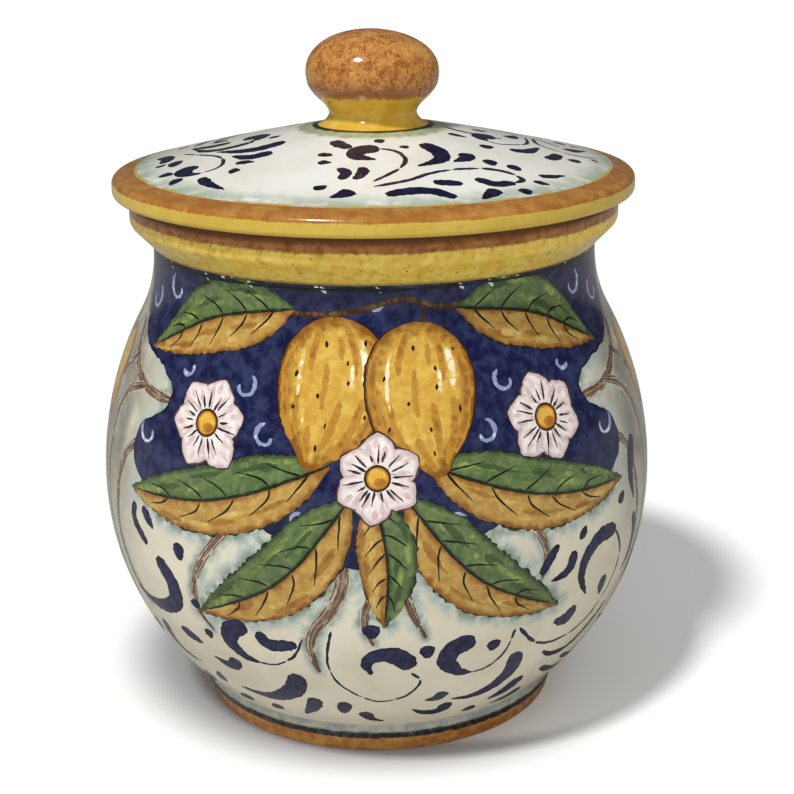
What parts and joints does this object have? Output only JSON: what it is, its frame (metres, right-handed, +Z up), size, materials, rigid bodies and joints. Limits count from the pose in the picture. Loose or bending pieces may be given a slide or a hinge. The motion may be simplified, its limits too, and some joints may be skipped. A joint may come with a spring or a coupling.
{
  "type": "lidded ceramic jar",
  "caption": "Round-bellied glazed earthenware storage jar with a collared mouth, a turned foot and a lift-off lid that has a locating ring and a mushroom knob.",
  "frame": {"origin": "centre of the foot's standing face, on the surface that the jar stands on", "axes": "+Z up along the axis of rotation, -Y towards the front of the painted decoration, +X to the viewer's right"},
  "size_m": [0.16, 0.16, 0.1947],
  "materials": {
    "jar_glaze": "glossy tin glaze, cream, hand painted in cobalt, copper green, ochre and yellow",
    "foot_glaze": "glossy glaze, brushed orange-brown band",
    "lid_glaze": "glossy tin glaze, cream, painted rim in orange-brown and yellow",
    "ring_glaze": "plain cream tin glaze",
    "knob_glaze": "glossy glaze, rust-brown sponging over yellow"
  },
  "bodies": {
    "jar": {"jar_body": "jar_glaze", "foot_ring": "foot_glaze"},
    "lid": {"lid": "lid_glaze", "lid_locating_ring": "ring_glaze", "lid_knob": "knob_glaze"}
  },
  "joints": [
    {"name": "lid_lift", "type": "slide", "parent": "jar", "child": "lid", "axis": [0, 0, 1], "range_m": [0, 0.12]}
  ]
}
